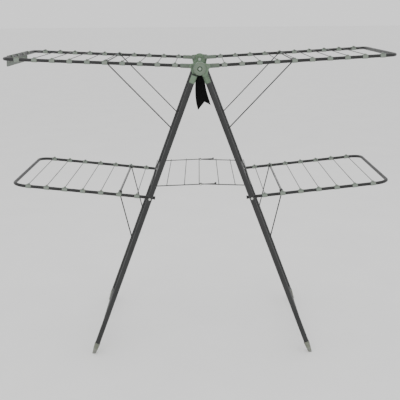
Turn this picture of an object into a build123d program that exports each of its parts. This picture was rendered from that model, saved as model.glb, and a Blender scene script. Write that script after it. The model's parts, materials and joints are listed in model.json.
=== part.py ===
from build123d import *
import os
from math import sin, cos, tan, radians, degrees, sqrt, atan2

# Folding clothes drying rack: an A-frame of two tubular leg frames hinged at
# the top, two wings and two lower shelves that fold along the legs, each held
# by a bent wire brace, and a two-part wire grid between the leg frames.
# +X to the right wing, +Y to the rear, +Z up, origin on the floor under the
# middle of the rack. Millimetres.

# ---------------------------------------------------------------- dimensions
HUB_Z = 1094.0          # height of the leg hinge
LEG_TILT = 20.6         # each leg from the vertical
LEG_OFF = 10.0          # leg axis, outward of the hub pin
LEG_Y = 286.5           # leg tube axes, front and rear
LEG_R, LEG_WALL = 9.5, 1.2
BAR_R = 6.0
UPPER_BAR_T = 479.0     # down the leg from the hub
BOTTOM_BAR_T = 1112.0
FOOT_T0, FOOT_T1 = 1130.0, 1152.0

RAIL_R, RAIL_WALL = 6.0, 1.0
RAIL_Y = 268.0
WIRE_R = 1.4
WIRE_UP = 7.6           # wire axis above the rail axis

WING_X = 28.0           # wing pivot from the rack's centre
WING_DZ = 7.0           # the rail line passes this far above the hub pin
WING_TILT = {"right": 2.88, "left": 2.52}   # each wing rests at its own slope
WING_MEAN = 2.7
WING_END = 706.0        # end tube from the rack's centre, along the rail
WING_WIRE0, WING_PITCH, WING_N = 89.0, 63.0, 10
WING_CORNER = 30.0

SHELF_T = 512.0         # shelf pivot, down the leg
SHELF_TILT = 5.95
SHELF_END = 514.0
SHELF_BACK = 16.0       # rail end past the pivot
SHELF_WIRE0, SHELF_PITCH, SHELF_N = 49.6, 67.5, 7
SHELF_CORNER = 48.0

ARM_Y = 257.5           # brace arms
BRACE_R = 2.2
TOP_BRACE_T = 246.5
TOP_BRACE_Q = 338.5     # where it meets the wing, from the rack's centre
LOW_BRACE_T = 706.0
LOW_BRACE_Q = 114.5     # where it meets the shelf, from the shelf pivot

GRID_R = 1.9
GRID_Y_IN, GRID_Y_OUT = 245.0, 249.5
GRID_RISE = 2.0         # degrees, each half towards the middle
GRID_STOP = 57.0
GRID_TAIL = 22.0        # each rail runs this far past the bar

os.makedirs("parts", exist_ok=True)

# ---------------------------------------------------------------- frame maths
SA, CA = sin(radians(LEG_TILT)), cos(radians(LEG_TILT))


def leg_pt(t, n=0.0):
    """X and Z of a point t down the right leg's axis and n outward of it."""
    return (
        (LEG_OFF + n) * CA + t * SA,
        HUB_Z + (LEG_OFF + n) * SA - t * CA,
    )


def rod(p, q, r):
    p, q = Vector(*p), Vector(*q)
    return Solid.make_cylinder(r, (q - p).length, Plane(origin=p, z_dir=(q - p)))


def pipe(p, q, r, wall):
    return rod(p, q, r) - rod(p, q, r - wall)


def ycyl(x, z, y0, y1, r):
    return rod((x, y0, z), (x, y1, z), r)


def bent(points, radii, r, wall=None):
    path = FilletPolyline(*points, radius=radii)
    start = Plane(origin=path @ 0, z_dir=path % 0)
    out = sweep(start * Circle(r), path=path)
    if wall:
        out = out - sweep(start * Circle(r - wall), path=path)
    return out


def box(x0, x1, y0, y1, z0, z1):
    return Box(x1 - x0, y1 - y0, z1 - z0).moved(
        Location(((x0 + x1) / 2, (y0 + y1) / 2, (z0 + z1) / 2))
    )


def solids_of(items):
    out = []
    for i in items:
        out += list(i.solids()) if hasattr(i, "solids") else [i]
    return out


NODES = {}


def node(name, *items):
    NODES[name] = Compound(children=solids_of(items)) if len(solids_of(items)) > 1 else solids_of(items)[0]


def flipx(items):
    return [mirror(i, about=Plane.YZ) for i in solids_of(items)]


def both_y(solid):
    return [solid, mirror(solid, about=Plane.XZ)]


def pair(name, items):
    """A right-hand node and its mirror image on the left."""
    node("right_" + name, *items)
    node("left_" + name, *flipx(items))


# ---------------------------------------------------------------- leg frames
LEG_T0 = 27.0
LEG_T1 = FOOT_T0 + 10.0                        # tube end, inside the foot cap


def leg_tube(ysign):
    y = ysign * LEG_Y
    (xa, za), (xb, zb) = leg_pt(LEG_T0), leg_pt(LEG_T1)
    tube = pipe((xa, y, za), (xb, y, zb), LEG_R, LEG_WALL)
    x, z = leg_pt(SHELF_T)
    tube -= ycyl(x, z, y - 20, y + 20, 3.05)
    for t in (TOP_BRACE_T, LOW_BRACE_T):
        x, z = leg_pt(t)
        tube -= ycyl(x, z, y, y - ysign * 20, 4.0)
    return tube


pair("leg_tube_front", [leg_tube(-1)])
pair("leg_tube_rear", [leg_tube(1)])
for name, t in (("bottom_bar", BOTTOM_BAR_T), ("upper_bar", UPPER_BAR_T)):
    x, z = leg_pt(t)
    reach = LEG_Y - LEG_R - 0.1
    pair(name, [pipe((x, -reach, z), (x, reach, z), BAR_R, 1.0)])

floor_cut = box(-900, 900, -400, 400, -60, 0)
caps, tips = [], []
for s in (-1, 1):
    y = s * LEG_Y
    (xa, za), (xb, zb), (xc, zc) = leg_pt(FOOT_T0), leg_pt(FOOT_T1), leg_pt(FOOT_T1 + 60)
    down = Vector(xb - xa, 0, zb - za).normalized()
    cap = Solid.make_cone(11.0, 9.2, FOOT_T1 - FOOT_T0, Plane(origin=(xa, y, za), z_dir=down))
    ring = leg_pt(FOOT_T0 - 3.0)
    cap += rod((ring[0], y, ring[1]), (xa, y, za), 10.6)
    tube_end = leg_pt(LEG_T1 + 0.2)
    cap -= rod((ring[0], y, ring[1]), (tube_end[0], y, tube_end[1]), LEG_R + 0.05)
    caps.append(cap)
    tip = Solid.make_cone(9.2, 3.2, 50.0, Plane(origin=(xb, y, zb), z_dir=down)) - floor_cut
    tips.append(tip)
pair("foot_caps", caps)
pair("foot_tips", tips)

# ---------------------------------------------------------------- hub
WX = WING_X
WZ = HUB_Z + WING_DZ + WING_X * tan(radians(WING_MEAN))
KNUCKLE_R = 23.5


def hub_socket(y0, y1):
    """One leg's socket at the front hub: knuckle between y0 and y1, sleeve on
    the tube, and the lug that carries the wing."""
    disc = ycyl(0, HUB_Z, y0, y1, KNUCKLE_R)
    pts = [leg_pt(4, -10.5), leg_pt(4, 10.5), leg_pt(32, 10.5), leg_pt(32, -10.5)]
    web = extrude(
        Plane.XZ.offset(-y0) * make_face(Polyline(*[(p[0], p[1]) for p in pts], close=True)),
        -(y1 - y0),
    )
    lug_pts = [(4, HUB_Z + 20), (WX + 3, WZ + 9.4), (WX + 9, WZ - 3), (WX + 4, WZ - 9), leg_pt(26, 9.8), (6, HUB_Z - 10)]
    lug = extrude(
        Plane.XZ.offset(-y0) * make_face(Polyline(*lug_pts, close=True)), -(y1 - y0)
    )
    lug += ycyl(WX, WZ, y0, y1, 9.5)
    (xa, za), (xb, zb) = leg_pt(30), leg_pt(58)
    sleeve = rod((xa, -LEG_Y, za), (xb, -LEG_Y, zb), 10.5)
    body = disc + web + lug
    body += sleeve
    boss = ycyl(WX, WZ, y0, -277.5, 5.2)
    body += boss
    t0 = leg_pt(LEG_T0 - 0.3)
    t1 = leg_pt(70)
    body -= rod((t0[0], -LEG_Y, t0[1]), (t1[0], -LEG_Y, t1[1]), LEG_R + 0.05)
    body -= ycyl(0, HUB_Z, -310, -270, 4.05)
    body -= ycyl(WX, WZ, -310, -270, 3.05)
    return body


right_socket = hub_socket(-297.0, -285.3)
left_socket = hub_socket(-284.7, -277.5)
node("right_hub_sockets", *both_y(right_socket))
node("left_hub_sockets", *flipx(both_y(left_socket)))

pin = ycyl(0, HUB_Z, -299.5, -253.0, 4.0) + ycyl(0, HUB_Z, -301.2, -297.1, 5.2)
pin += ycyl(0, HUB_Z, -253.0, -250.4, 6.5)
node("hub_pins", *both_y(pin))
cover = ycyl(0, HUB_Z, -300.6, -297.1, KNUCKLE_R)
cover = fillet(cover.edges().filter_by(GeomType.CIRCLE).sort_by(Axis.Y)[0], 1.6)
cover -= ycyl(0, HUB_Z, -310, -290, 9.4)
node("hub_covers", *both_y(cover))

# the folded cloth tie that hangs from the front hub pin
strap_pts = [(-8, 12), (8, 12), (10, -20), (19, -56), (27, -92), (39, -133), (16, -122), (-8, -152), (-16, -120), (-18, -56), (-12, -20)]
strap = extrude(
    Plane.XZ.offset(260.2) * make_face(Polyline(*[(x, HUB_Z + z) for x, z in strap_pts], close=True)), -6.0
)
strap -= ycyl(0, HUB_Z, -270, -250, 4.4)
node("tie_strap", strap)

wing_pin = ycyl(WX, WZ, -297.6, -259.0, 3.0) + ycyl(WX, WZ, -299.6, -297.1, 4.6)
wing_pin += ycyl(WX, WZ, -259.0, -257.0, 4.6)
node("right_wing_pins", *both_y(wing_pin))
wing_pin_l = ycyl(WX, WZ, -287.0, -259.0, 3.0) + ycyl(WX, WZ, -286.9, -284.8, 4.6)
wing_pin_l += ycyl(WX, WZ, -259.0, -257.0, 4.6)
node("left_wing_pins", *flipx(both_y(wing_pin_l)))

SX, SZ = leg_pt(SHELF_T)
bolt = ycyl(SX, SZ, -297.0, -260.5, 3.0) + ycyl(SX, SZ, -298.6, -296.3, 4.4)
bolt += ycyl(SX, SZ, -260.5, -257.5, 5.0)
spacer = ycyl(SX, SZ, -276.9, -274.4, 6.0) - ycyl(SX, SZ, -280, -270, 3.05)
pair("shelf_bolts", both_y(bolt))
pair("shelf_spacers", both_y(spacer))


def brace_socket(t):
    x, z = leg_pt(t)
    s = ycyl(x, z, -277.0, -274.6, 5.5) + ycyl(x, z, -281.5, -276.9, 3.9)
    return s - ycyl(x, z, -280.4, -270.0, BRACE_R + 0.05)


pair("top_brace_sockets", both_y(brace_socket(TOP_BRACE_T)))
pair("low_brace_sockets", both_y(brace_socket(LOW_BRACE_T)))

# ---------------------------------------------------------------- wings
# Built flat along +X from the pivot (rail axis at z = 0), then placed.


def place_wing(items, side="right"):
    loc = Location((WX, 0, WZ)) * Location((0, 0, 0), (0, -WING_TILT[side], 0))
    return [s.moved(loc) for s in solids_of(items)]


def place_shelf(items):
    loc = Location((SX, 0, SZ)) * Location((0, 0, 0), (0, -SHELF_TILT, 0))
    return [s.moved(loc) for s in solids_of(items)]


def u_tube(q0, q1, corner):
    return bent(
        [(q0, -RAIL_Y, 0), (q1, -RAIL_Y, 0), (q1, RAIL_Y, 0), (q0, RAIL_Y, 0)],
        corner, RAIL_R, RAIL_WALL,
    )


def clip(q):
    """Plastic clip on the front rail that holds the end of one line wire."""
    c = rod((q - 9.5, -RAIL_Y, 0), (q + 9.5, -RAIL_Y, 0), 7.4)
    tent = Polyline((q - 6.5, 4.0), (q - 3.0, 10.6), (q + 3.0, 10.6), (q + 6.5, 4.0), close=True)
    c += extrude(Plane.XZ.offset(RAIL_Y + 5.4) * make_face(tent), -12.4)
    c -= rod((q - 10, -RAIL_Y, 0), (q + 10, -RAIL_Y, 0), RAIL_R + 0.1)
    c -= rod((q, -RAIL_Y - 4.6, WIRE_UP), (q, -RAIL_Y + 9, WIRE_UP), WIRE_R + 0.1)
    return c


def wires(q0, pitch, n):
    reach = RAIL_Y + 4.2
    return [
        rod((q0 + pitch * i, -reach, WIRE_UP), (q0 + pitch * i, reach, WIRE_UP), WIRE_R)
        for i in range(n)
    ]


def clips(q0, pitch, n):
    first = clip(q0)
    front = [first.moved(Location((pitch * i, 0, 0))) for i in range(n)]
    return front + [mirror(c, about=Plane.XZ) for c in front]


def catch(qw, yc):
    """Clip on one line wire that the brace's cross wire sits in."""
    c = rod((qw, yc - 9, WIRE_UP), (qw, yc + 9, WIRE_UP), 2.9)
    c += box(qw - 8.6, qw - 5.1, yc - 9, yc + 9, -2.0, WIRE_UP)
    c += box(qw - 8.6, qw + 4.0, yc - 9, yc + 9, 5.0, 7.6)
    c -= rod((qw, yc - 10, WIRE_UP), (qw, yc + 10, WIRE_UP), WIRE_R + 0.05)
    return c


w0 = WING_WIRE0 - WX
wing_frame = u_tube(14.0, WING_END - WX, WING_CORNER)
fitting = box(-9.5, 42.0, -RAIL_Y - 7.6, -RAIL_Y + 7.6, -7.8, 7.8)
fitting = fillet(fitting.edges().filter_by(Axis.X), 4.5)
fitting -= rod((12.0, -RAIL_Y, 0), (60.0, -RAIL_Y, 0), RAIL_R + 0.05)
fitting -= rod((0, -300, 0), (0, -240, 0), 3.05)
wire_list = wires(w0, WING_PITCH, WING_N)
clip_list = clips(w0, WING_PITCH, WING_N)
catch_q = w0 + 4 * WING_PITCH
catch_list = [catch(catch_q, y) for y in (-238.0, 238.0)]
for name, items in (
    ("wing_frame", [wing_frame]),
    ("wing_wires", wire_list),
    ("wing_clips", clip_list),
    ("wing_end_fittings", both_y(fitting)),
    ("wing_brace_catches", catch_list),
):
    node("right_" + name, *place_wing(items, "right"))
    node("left_" + name, *flipx(place_wing(items, "left")))

# strip with holes for coat hangers, clipped on the left wing's end tube
PANEL_Y, PANEL_H = 172.0, 40.0
panel_q = WING_END - WX
panel = box(panel_q + RAIL_R + 0.4, panel_q + RAIL_R + 3.4, -PANEL_Y, PANEL_Y, -PANEL_H + 6, 6.0)
panel = fillet(panel.edges().filter_by(Axis.X), 6.0)
for i in range(-6, 7):
    panel -= rod((panel_q, 25.0 * i, -16.0), (panel_q + 20, 25.0 * i, -16.0), 7.0)
hooks = []
for y in (-140.0, -47.0, 47.0, 140.0):
    h = rod((panel_q, y - 9, 0), (panel_q, y + 9, 0), 8.2) - rod((panel_q, y - 9, 0), (panel_q, y + 9, 0), RAIL_R + 0.1)
    h -= box(panel_q + RAIL_R + 0.35, panel_q + 20, y - 10, y + 10, -20, 20)
    hooks.append(h)
node("hanger_strip", *flipx(place_wing([panel], "left")))
node("hanger_strip_clips", *flipx(place_wing(hooks, "left")))

# ---------------------------------------------------------------- shelves
shelf_frame = u_tube(-SHELF_BACK, SHELF_END, SHELF_CORNER)
shelf_frame -= rod((0, -300, 0), (0, 300, 0), 3.05)
cap_end = rod((-SHELF_BACK - 3, -RAIL_Y, 0), (-SHELF_BACK - 0.1, -RAIL_Y, 0), 6.6)
cap_end += rod((-SHELF_BACK - 0.2, -RAIL_Y, 0), (-SHELF_BACK + 6, -RAIL_Y, 0), RAIL_R - RAIL_WALL - 0.05)
shelf_wires = wires(SHELF_WIRE0, SHELF_PITCH, SHELF_N)
shelf_clips = clips(SHELF_WIRE0, SHELF_PITCH, SHELF_N)
shelf_catch_q = SHELF_WIRE0 + SHELF_PITCH
shelf_catches = [catch(shelf_catch_q, y) for y in (-238.0, 238.0)]
for name, items in (
    ("shelf_frame", [shelf_frame]),
    ("shelf_wires", shelf_wires),
    ("shelf_clips", shelf_clips),
    ("shelf_end_plugs", both_y(cap_end)),
    ("shelf_brace_catches", shelf_catches),
):
    pair(name, place_shelf(items))

# ---------------------------------------------------------------- braces
BRACE_SEAT = 1.9        # cross wire axis above the rail axis


def wing_point(q, up, side):
    a = radians(WING_TILT[side])
    return WX + q * cos(a) - up * sin(a), WZ + q * sin(a) + up * cos(a)


def shelf_point(q, up):
    a = radians(SHELF_TILT)
    return SX + q * cos(a) - up * sin(a), SZ + q * sin(a) + up * cos(a)


def brace(t, target):
    x, z = leg_pt(t)
    dx, dz = target[0] - x, target[1] - z
    length, angle = sqrt(dx * dx + dz * dz), degrees(atan2(dz, dx))
    pts = [(0, -280.2, 0), (0, -ARM_Y, 0), (length, -ARM_Y, 0), (length, ARM_Y, 0), (0, ARM_Y, 0), (0, 280.2, 0)]
    wire = bent(pts, 6.0, BRACE_R)
    return [wire.moved(Location((x, 0, z)) * Location((0, 0, 0), (0, -angle, 0)))], length, angle


TOP = {}
for side in ("right", "left"):
    top_brace, length, angle = brace(TOP_BRACE_T, wing_point(TOP_BRACE_Q - WX, BRACE_SEAT, side))
    TOP[side] = (length, angle)
    node(side + "_top_brace", *(top_brace if side == "right" else flipx(top_brace)))
low_brace, LOW_LEN, LOW_ANGLE = brace(LOW_BRACE_T, shelf_point(LOW_BRACE_Q, BRACE_SEAT))
pair("low_brace", low_brace)

# ---------------------------------------------------------------- grid
UX, UZ = leg_pt(UPPER_BAR_T)
HOOK_R = BAR_R + GRID_R + 0.4
GRID_LEN = UX / cos(radians(GRID_RISE))
HINGE_Z = UZ + GRID_LEN * sin(radians(GRID_RISE)) + HOOK_R


def half_grid(y, stop):
    """Right half, flat: from the hinge at x = 0 to the hook over the bar at
    x = GRID_LEN, rail axis at z = 0, the bar's axis HOOK_R below."""
    out = []
    for s in (-1, 1):
        x0 = -GRID_STOP if stop else 0.0
        rail = rod((x0, s * y, 0), (GRID_LEN + 0.2, s * y, 0), GRID_R)
        path = CenterArc((GRID_LEN, -HOOK_R), HOOK_R, 90, -105)
        arc = Plane.XZ.offset(-s * y) * path
        hook = sweep(
            Plane(origin=arc @ 0, z_dir=arc % 0) * Circle(GRID_R), path=arc
        )
        rail = rail + hook
        rail += rod((GRID_LEN - 1.0, s * y, 0), (GRID_LEN + GRID_TAIL, s * y, 0), GRID_R)
        rail += ycyl(0, 0, s * y - 1.7, s * y + 1.7, 4.5)
        rail -= ycyl(0, 0, s * y - 5, s * y + 5, 1.25)
        if stop:
            a, b = sorted((s * (GRID_Y_IN - 2.5), s * (y + 1.9)))
            rail += box(-GRID_STOP - 2, -GRID_STOP + 5, a, b, GRID_R + 0.1, GRID_R + 2.6)
            rail += box(-GRID_STOP - 2, -GRID_STOP + 5, min(s * (y - 1.5), s * (y + 1.9)), max(s * (y - 1.5), s * (y + 1.9)), -1.0, GRID_R + 1.0)
        out.append(rail)
    return out


def cross_wires(y, places):
    return [rod((q, -y - 3, GRID_R + 1.5), (q, y + 3, GRID_R + 1.5), 1.5) for q in places]


def place_grid(items):
    loc = Location((0, 0, HINGE_Z)) * Location((0, 0, 0), (0, GRID_RISE, 0))
    return [s.moved(loc) for s in solids_of(items)]


node("grid_right_rails", *place_grid(half_grid(GRID_Y_IN, False)))
node("grid_right_wires", *place_grid(cross_wires(GRID_Y_IN, (68.0, 129.0, GRID_LEN + 10.0))))
node("grid_left_rails", *flipx(place_grid(half_grid(GRID_Y_OUT, True))))
node("grid_left_wires", *flipx(place_grid(cross_wires(GRID_Y_OUT, (5.6, 61.0, 127.0, GRID_LEN + 10.0)))))
hinge_pins = []
for s in (-1, 1):
    p = ycyl(0, HINGE_Z, s * (GRID_Y_IN - 2.9), s * (GRID_Y_OUT + 3.0), 1.2)
    p += ycyl(0, HINGE_Z, s * (GRID_Y_IN - 4.1), s * (GRID_Y_IN - 2.8), 3.2)
    p += ycyl(0, HINGE_Z, s * (GRID_Y_OUT + 3.0), s * (GRID_Y_OUT + 4.2), 3.2)
    hinge_pins.append(p)
node("grid_hinge_pins", *hinge_pins)

# ---------------------------------------------------------------- motion data
LEG_DIR = -(90.0 - LEG_TILT)      # direction down the right leg, degrees
print("wing pivot", round(WX, 3), round(WZ, 3), "shelf pivot", round(SX, 3), round(SZ, 3))
print("upper bar", round(UX, 3), round(UZ, 3), "grid hinge z", round(HINGE_Z, 3), "half", round(GRID_LEN, 3))
print("top brace", [round(v, 3) for v in leg_pt(TOP_BRACE_T)], TOP)
print("low brace", [round(v, 3) for v in leg_pt(LOW_BRACE_T)], round(LOW_LEN, 2), round(LOW_ANGLE, 2))
print("leg direction", LEG_DIR, "hook radius", HOOK_R)

for name, shape in NODES.items():
    export_step(shape, f"parts/{name}.step")
print(len(NODES), "nodes")
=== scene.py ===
import json
import math
import random

import bmesh
import bpy
from mathutils import Matrix, Vector


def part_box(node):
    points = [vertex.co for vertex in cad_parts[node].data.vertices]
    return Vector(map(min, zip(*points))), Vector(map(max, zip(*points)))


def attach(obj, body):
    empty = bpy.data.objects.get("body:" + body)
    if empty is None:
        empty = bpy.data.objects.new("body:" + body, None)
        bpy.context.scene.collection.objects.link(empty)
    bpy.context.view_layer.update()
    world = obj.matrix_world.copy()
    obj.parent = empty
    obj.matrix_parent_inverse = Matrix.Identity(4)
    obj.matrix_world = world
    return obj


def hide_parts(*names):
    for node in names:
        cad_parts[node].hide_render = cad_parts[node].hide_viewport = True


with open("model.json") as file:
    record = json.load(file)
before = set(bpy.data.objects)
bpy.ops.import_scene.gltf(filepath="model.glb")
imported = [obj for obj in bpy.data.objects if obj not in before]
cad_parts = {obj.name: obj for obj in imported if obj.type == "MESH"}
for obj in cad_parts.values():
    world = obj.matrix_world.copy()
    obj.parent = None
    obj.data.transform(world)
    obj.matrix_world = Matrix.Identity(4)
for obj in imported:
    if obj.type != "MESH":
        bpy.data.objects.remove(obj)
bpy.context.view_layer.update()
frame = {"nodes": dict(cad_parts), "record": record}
nodes = frame["nodes"]
scene = bpy.context.scene

# ------------------------------------------------------------------ camera
FOCAL_PX = 767.0
cam_data = bpy.data.cameras.new("camera")
cam_data.sensor_fit = "HORIZONTAL"
cam_data.sensor_width = 36.0
cam_data.lens = FOCAL_PX / 400.0 * 36.0
cam_data.clip_start, cam_data.clip_end = 0.05, 100.0
camera = bpy.data.objects.new("camera", cam_data)
scene.collection.objects.link(camera)
pitch, roll = math.radians(13.89), math.radians(0.46)
camera.matrix_world = (
    Matrix.Translation((-0.0032, -3.05352, 1.29603))
    @ Matrix.Rotation(math.radians(90) - pitch, 4, "X")
    @ Matrix.Rotation(-roll, 4, "Z")
)
scene.camera = camera


# ------------------------------------------------------------------ materials
class Mat:
    """A principled material with helpers for its procedural detail."""

    def __init__(self, name, rough=0.5, metallic=0.0, **sockets):
        self.m = bpy.data.materials.new(name)
        self.m.use_nodes = True
        self.t = self.m.node_tree
        self.n = self.t.nodes
        self.b = self.n["Principled BSDF"]
        self.b.inputs["Roughness"].default_value = rough
        self.b.inputs["Metallic"].default_value = metallic
        for k, v in sockets.items():
            self.b.inputs[k].default_value = v
        self.coord = self.n.new("ShaderNodeTexCoord").outputs["Object"]

    def add(self, kind, **values):
        node = self.n.new(kind)
        for k, v in values.items():
            if k in node.inputs:
                node.inputs[k].default_value = v
            else:
                setattr(node, k, v)
        return node

    def link(self, a, b):
        self.t.links.new(a, b)

    def noise(self, scale, detail=3.0, rough=0.5, stretch=None):
        node = self.add("ShaderNodeTexNoise", Scale=scale, Detail=detail, Roughness=rough)
        if stretch:
            mapping = self.n.new("ShaderNodeMapping")
            mapping.inputs["Scale"].default_value = stretch
            self.link(self.coord, mapping.inputs["Vector"])
            self.link(mapping.outputs["Vector"], node.inputs["Vector"])
        else:
            self.link(self.coord, node.inputs["Vector"])
        return node.outputs["Fac"]

    def ramp(self, fac, stops):
        r = self.n.new("ShaderNodeValToRGB")
        e = r.color_ramp.elements
        while len(e) < len(stops):
            e.new(0.5)
        for el, (pos, col) in zip(e, stops):
            el.position = pos
            el.color = (*col, 1) if len(col) == 3 else col
        self.link(fac, r.inputs["Fac"])
        return r.outputs["Color"]

    def mix(self, fac, a, b, blend="MIX"):
        node = self.n.new("ShaderNodeMix")
        node.data_type = "RGBA"
        node.blend_type = blend
        for sock, v in ((node.inputs["Factor"], fac), (node.inputs["A"], a), (node.inputs["B"], b)):
            if hasattr(v, "links"):
                self.link(v, sock)
            elif isinstance(v, (int, float)):
                sock.default_value = v
            else:
                sock.default_value = (*v, 1)
        return node.outputs["Result"]

    def math(self, op, a, b=0.0):
        node = self.n.new("ShaderNodeMath")
        node.operation = op
        for sock, v in zip(node.inputs, (a, b)):
            if hasattr(v, "links"):
                self.link(v, sock)
            else:
                sock.default_value = v
        return node.outputs["Value"]

    def bump(self, height, strength=0.3, distance=0.0002, normal=None):
        node = self.n.new("ShaderNodeBump")
        node.inputs["Strength"].default_value = strength
        node.inputs["Distance"].default_value = distance
        self.link(height, node.inputs["Height"])
        if normal is not None:
            self.link(normal, node.inputs["Normal"])
        return node.outputs["Normal"]

    def done(self, color=None, rough=None, normal=None):
        if color is not None:
            self.link(color, self.b.inputs["Base Color"])
        if rough is not None:
            self.link(rough, self.b.inputs["Roughness"])
        if normal is not None:
            self.link(normal, self.b.inputs["Normal"])
        return self.m


def painted_steel(name, dark, light, rough=0.42, worn=(0.30, 0.30, 0.29), wear=0.72):
    """Powder coat on tube: orange peel, soft tone drift, fine rubbed streaks and a few small chips."""
    k = Mat(name, rough, 0.0, **{"Specular IOR Level": 0.4})
    drift = k.noise(9.0, 4.0, 0.55)
    base = k.ramp(drift, [(0.30, dark), (0.72, light)])
    streak = k.noise(55.0, 5.0, 0.7, stretch=(1.0, 0.25, 1.0))
    base = k.mix(k.ramp(streak, [(0.50, (0, 0, 0)), (0.80, (0.35, 0.35, 0.35))]), base, tuple(1.5 * c for c in light))
    chips = k.noise(160.0, 6.0, 0.75)
    gate = k.noise(14.0, 2.0, 0.5)
    chip = k.math("MULTIPLY", k.math("GREATER_THAN", chips, wear), k.math("GREATER_THAN", gate, 0.56))
    base = k.mix(k.math("MULTIPLY", chip, 0.55), base, worn)
    peel = k.noise(900.0, 2.0, 0.5)
    fine = k.noise(2600.0, 2.0, 0.5)
    height = k.math("ADD", peel, k.math("MULTIPLY", fine, 0.35))
    height = k.math("SUBTRACT", height, k.math("MULTIPLY", chip, 0.8))
    r = k.math("ADD", k.math("MULTIPLY", k.noise(70.0, 4.0, 0.6), 0.22), rough - 0.11)
    return k.done(base, r, k.bump(height, 0.22, 0.00012))


def moulded(name, dark, light, rough=0.48, grain=1500.0, strength=0.25, painted_recess_shade=None):
    """Injection-moulded plastic: spark-eroded grain, soft mottling, slight scuffs on raised places."""
    k = Mat(name, rough, 0.0, **{"Specular IOR Level": 0.4, "Subsurface Weight": 0.03, "Subsurface Scale": 0.002})
    mott = k.noise(38.0, 5.0, 0.6)
    base = k.ramp(mott, [(0.28, dark), (0.75, light)])
    flow = k.noise(160.0, 3.0, 0.6, stretch=(0.2, 1.0, 1.0))
    base = k.mix(k.ramp(flow, [(0.55, (0, 0, 0)), (0.85, (0.4, 0.4, 0.4))]), base, tuple(min(1.0, 1.35 * c) for c in light))
    if painted_recess_shade:
        # painted shade: a darker green disc round the hub pin stands in for the shadow inside the recess there
        z0, radius, shade = painted_recess_shade
        sep = k.n.new("ShaderNodeSeparateXYZ")
        k.link(k.coord, sep.inputs[0])
        dz = k.math("SUBTRACT", sep.outputs["Z"], z0)
        r2 = k.math("ADD", k.math("MULTIPLY", sep.outputs["X"], sep.outputs["X"]), k.math("MULTIPLY", dz, dz))
        near = k.math("LESS_THAN", r2, radius * radius)
        base = k.mix(near, base, shade)
    geo = k.n.new("ShaderNodeNewGeometry")
    edge = k.ramp(geo.outputs["Pointiness"], [(0.50, (0, 0, 0)), (0.60, (0.55, 0.55, 0.55))])
    base = k.mix(edge, base, tuple(min(1.0, 1.5 * c) for c in light))
    g = k.add("ShaderNodeTexVoronoi", Scale=grain)
    k.link(k.coord, g.inputs["Vector"])
    h = k.math("ADD", g.outputs["Distance"], k.math("MULTIPLY", k.noise(grain * 0.5, 3.0, 0.6), 0.6))
    r = k.math("ADD", k.math("MULTIPLY", k.noise(90.0, 4.0, 0.6), 0.2), rough - 0.1)
    return k.done(base, r, k.bump(h, strength, 0.00012))


def coated_wire(name, dark, light, rough=0.38):
    k = Mat(name, rough, 0.0, **{"Specular IOR Level": 0.4})
    base = k.ramp(k.noise(26.0, 4.0, 0.6), [(0.3, dark), (0.7, light)])
    rub = k.noise(300.0, 5.0, 0.7)
    base = k.mix(k.ramp(rub, [(0.62, (0, 0, 0)), (0.78, (0.5, 0.5, 0.5))]), base, tuple(1.6 * c for c in light))
    h = k.math("ADD", k.noise(1400.0, 2.0, 0.5), k.math("MULTIPLY", k.noise(180.0, 2.0, 0.5), 0.5))
    r = k.math("ADD", k.math("MULTIPLY", k.noise(120.0, 3.0, 0.6), 0.2), rough - 0.1)
    return k.done(base, r, k.bump(h, 0.18, 0.0001))


def zinc(name):
    k = Mat(name, 0.32, 1.0, Anisotropic=0.3)
    base = k.ramp(k.noise(120.0, 5.0, 0.65), [(0.3, (0.46, 0.48, 0.46)), (0.7, (0.70, 0.71, 0.68))])
    tarnish = k.ramp(k.noise(45.0, 6.0, 0.7), [(0.52, (0, 0, 0)), (0.8, (0.6, 0.6, 0.6))])
    base = k.mix(tarnish, base, (0.30, 0.31, 0.29))
    h = k.noise(700.0, 3.0, 0.6, stretch=(1.0, 0.08, 1.0))
    r = k.math("ADD", k.math("MULTIPLY", k.noise(200.0, 4.0, 0.6), 0.25), 0.2)
    return k.done(base, r, k.bump(h, 0.2, 0.0001))


def webbing(name):
    """Black woven tie: plain weave of crossing yarns, fuzz and dusty highs."""
    k = Mat(name, 0.86, 0.0, **{"Sheen Weight": 0.06, "Sheen Roughness": 0.5, "Specular IOR Level": 0.1})
    waves = []
    for axis in ("X", "Z"):
        w = k.add("ShaderNodeTexWave", Scale=520.0, Distortion=0.6)
        w.bands_direction = axis
        w.inputs["Detail Scale"].default_value = 2.0
        k.link(k.coord, w.inputs["Vector"])
        waves.append(w.outputs["Fac"])
    weave = k.math("MAXIMUM", waves[0], k.math("MULTIPLY", waves[1], 0.85))
    fuzz = k.noise(900.0, 6.0, 0.7)
    base = k.ramp(weave, [(0.15, (0.0015, 0.0015, 0.0016)), (0.9, (0.0048, 0.0047, 0.0050))])
    dust = k.noise(60.0, 5.0, 0.65)
    base = k.mix(k.ramp(dust, [(0.5, (0, 0, 0)), (0.85, (0.4, 0.4, 0.4))]), base, (0.011, 0.0107, 0.011))
    h = k.math("ADD", weave, k.math("MULTIPLY", fuzz, 0.6))
    return k.done(base, None, k.bump(h, 0.6, 0.00025))


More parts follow.
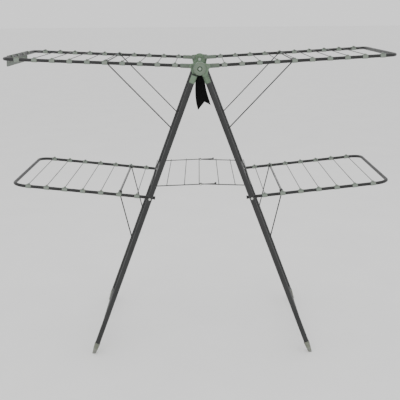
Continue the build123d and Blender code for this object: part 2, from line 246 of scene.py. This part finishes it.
M = {
    "leg_steel": painted_steel("leg_powder_coat", (0.0162, 0.0167, 0.0171), (0.0256, 0.0262, 0.0266), 0.46),
    "rail_steel": painted_steel("rail_powder_coat", (0.0104, 0.0108, 0.0108), (0.0181, 0.0186, 0.0186), 0.44),
    "brace_wire": coated_wire("brace_wire", (0.0085, 0.0089, 0.0089), (0.0152, 0.0158, 0.0156), 0.5),
    "line_wire": coated_wire("line_wire", (0.0162, 0.0175, 0.0165), (0.0285, 0.0304, 0.0289), 0.5),
    "black_plastic": moulded("black_plastic", (0.0076, 0.0076, 0.0076), (0.0152, 0.0152, 0.0152), 0.55),
    "green_plastic": moulded("green_plastic", (0.0874, 0.1178, 0.0855), (0.1292, 0.1672, 0.1235), 0.55),
    "clip_plastic": moulded("clip_plastic", (0.1102, 0.133, 0.1102), (0.1596, 0.1881, 0.1577), 0.52),
    "strip_plastic": moulded("strip_plastic", (0.0684, 0.0817, 0.0684), (0.1026, 0.1197, 0.1007), 0.55),
    "bolt_steel": zinc("zinc_plate"),
    "black_cloth": webbing("black_webbing"),
}
HUB_Z = sum(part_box("hub_pins")[i][2] for i in (0, 1)) / 2
# hub sockets carry painted shade: a darker green disc round the hub pin axis in place of the recess shadow
hub_green = moulded("hub_plastic", (0.076, 0.1178, 0.0741), (0.114, 0.1672, 0.1102), 0.55, painted_recess_shade=(HUB_Z, 0.0105, (0.019, 0.0342, 0.019)))
fitting_green = moulded("fitting_plastic", (0.0646, 0.0855, 0.0646), (0.0988, 0.1235, 0.0969), 0.55)
pin_green = moulded("pin_paint", (0.076, 0.1026, 0.0741), (0.114, 0.1444, 0.1102), 0.42)
hub_pin = moulded("hub_pin_paint", (0.1615, 0.1995, 0.1596), (0.228, 0.2698, 0.2242), 0.40)
foot_green = moulded("foot_plastic", (0.1102, 0.1216, 0.095), (0.1615, 0.1748, 0.1387), 0.58)
foot_dark = moulded("foot_rubber", (0.1292, 0.1368, 0.1178), (0.1995, 0.2071, 0.1824), 0.7, 900.0, 0.4)

slots = {s["node"]: s["material_slot"] for s in frame["record"]["subparts"]}
for name, obj in nodes.items():
    m = M[slots[name]]
    if "foot_caps" in name:
        m = foot_green
    elif "foot_tips" in name:
        m = foot_dark
    elif name in ("left_hub_sockets", "right_hub_sockets"):
        m = hub_green
    elif "end_fittings" in name:
        m = fitting_green
    elif "wing_pins" in name:
        m = pin_green
    elif name == "hub_pins":
        m = hub_pin
    obj.data.materials.clear()
    obj.data.materials.append(m)
    for p in obj.data.polygons:
        p.material_index = 0


# ------------------------------------------------------------------ cloth tie
def tie():
    """A doubled strip of webbing that hangs over the front hub pin: it gathers at
    the pin, opens into two pleats and ends in two slanted tails."""
    rng = random.Random(7)
    hz = 1.094
    left = [(0.010, -0.0078), (-0.012, -0.0112), (-0.048, -0.0168), (-0.076, -0.0176), (-0.101, -0.0170), (-0.128, -0.0138), (-0.1505, -0.0082)]
    right = [(0.010, 0.0078), (-0.012, 0.0098), (-0.050, 0.0176), (-0.080, 0.0232), (-0.101, 0.0290), (-0.119, 0.0348), (-0.1335, 0.0388)]

    def along(path, s):
        f = s * (len(path) - 1)
        i = min(int(f), len(path) - 2)
        a, b = path[i], path[i + 1]
        f -= i
        f = f * f * (3 - 2 * f) * 0.35 + f * 0.65
        return a[0] + (b[0] - a[0]) * f, a[1] + (b[1] - a[1]) * f

    nu, nv = 41, 72
    bm = bmesh.new()
    grid = []
    for j in range(nv):
        s = j / (nv - 1)
        zl, xl = along(left, s)
        zr, xr = along(right, s)
        row = []
        for i in range(nu):
            u = i / (nu - 1)
            x = xl + (xr - xl) * u
            z = zl + (zr - zl) * u
            if s > 0.72:
                notch = max(0.0, 1 - abs(u - 0.52) / 0.48)
                z += 0.021 * notch * ((s - 0.72) / 0.28) ** 1.2
            pleat = math.sin(u * math.pi * 3.0 + 0.6) * 0.0011 + math.sin(u * math.pi * 7 + s * 2.2) * 0.00035
            sway = math.sin(s * 5.0) * 0.0004
            y = -0.2572 + (pleat * (0.35 + 0.65 * s) + sway)
            row.append(bm.verts.new((x, y, hz + z)))
        grid.append(row)
    for j in range(nv - 1):
        for i in range(nu - 1):
            bm.faces.new((grid[j][i], grid[j + 1][i], grid[j + 1][i + 1], grid[j][i + 1]))
    mesh = bpy.data.meshes.new("tie_cloth")
    bm.to_mesh(mesh)
    bm.free()
    o = bpy.data.objects.new("tie_cloth", mesh)
    scene.collection.objects.link(o)
    for p in mesh.polygons:
        p.use_smooth = True
    sol = o.modifiers.new("thick", "SOLIDIFY")
    sol.thickness = 0.0013
    sol.offset = 0
    sub = o.modifiers.new("sub", "SUBSURF")
    sub.levels = sub.render_levels = 1
    bpy.context.view_layer.objects.active = o
    o.select_set(True)
    for mod in ("thick", "sub"):
        bpy.ops.object.modifier_apply(modifier=mod)
    o.select_set(False)
    o.data.materials.append(M["black_cloth"])
    return o


cloth = tie()
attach(cloth, "tie")
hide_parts("tie_strap")

# ------------------------------------------------------------------ stage
floor_mat = Mat("floor", 0.85)
fn = floor_mat.noise(3.0, 4.0, 0.5)
floor_mat = floor_mat.done(floor_mat.ramp(fn, [(0.3, (0.90, 0.90, 0.895)), (0.7, (0.93, 0.93, 0.925))]))
fm = bpy.data.meshes.new("floor")
fm.from_pydata([(-30, -30, -0.0005), (30, -30, -0.0005), (30, 60, -0.0005), (-30, 60, -0.0005)], [], [(0, 1, 2, 3)])
floor = bpy.data.objects.new("floor", fm)
floor.data.materials.append(floor_mat)
scene.collection.objects.link(floor)

world = bpy.data.worlds.new("studio")
scene.world = world
world.use_nodes = True
bg = world.node_tree.nodes["Background"]
bg.inputs["Color"].default_value = (1.0, 1.0, 1.0, 1)
bg.inputs["Strength"].default_value = 1.15


def area(name, loc, target, size, power):
    d = bpy.data.lights.new(name, "AREA")
    d.shape = "DISK"
    d.size = size
    d.energy = power
    o = bpy.data.objects.new(name, d)
    scene.collection.objects.link(o)
    o.location = loc
    o.rotation_euler = (Vector(target) - Vector(loc)).to_track_quat("-Z", "Y").to_euler()


area("key", (-1.8, -3.2, 3.2), (0, 0, 0.7), 2.4, 22)
area("fill", (2.6, -2.4, 1.8), (0, 0, 0.7), 2.0, 10)
area("top", (0.2, 0.6, 3.6), (0, 0, 0.7), 3.0, 14)
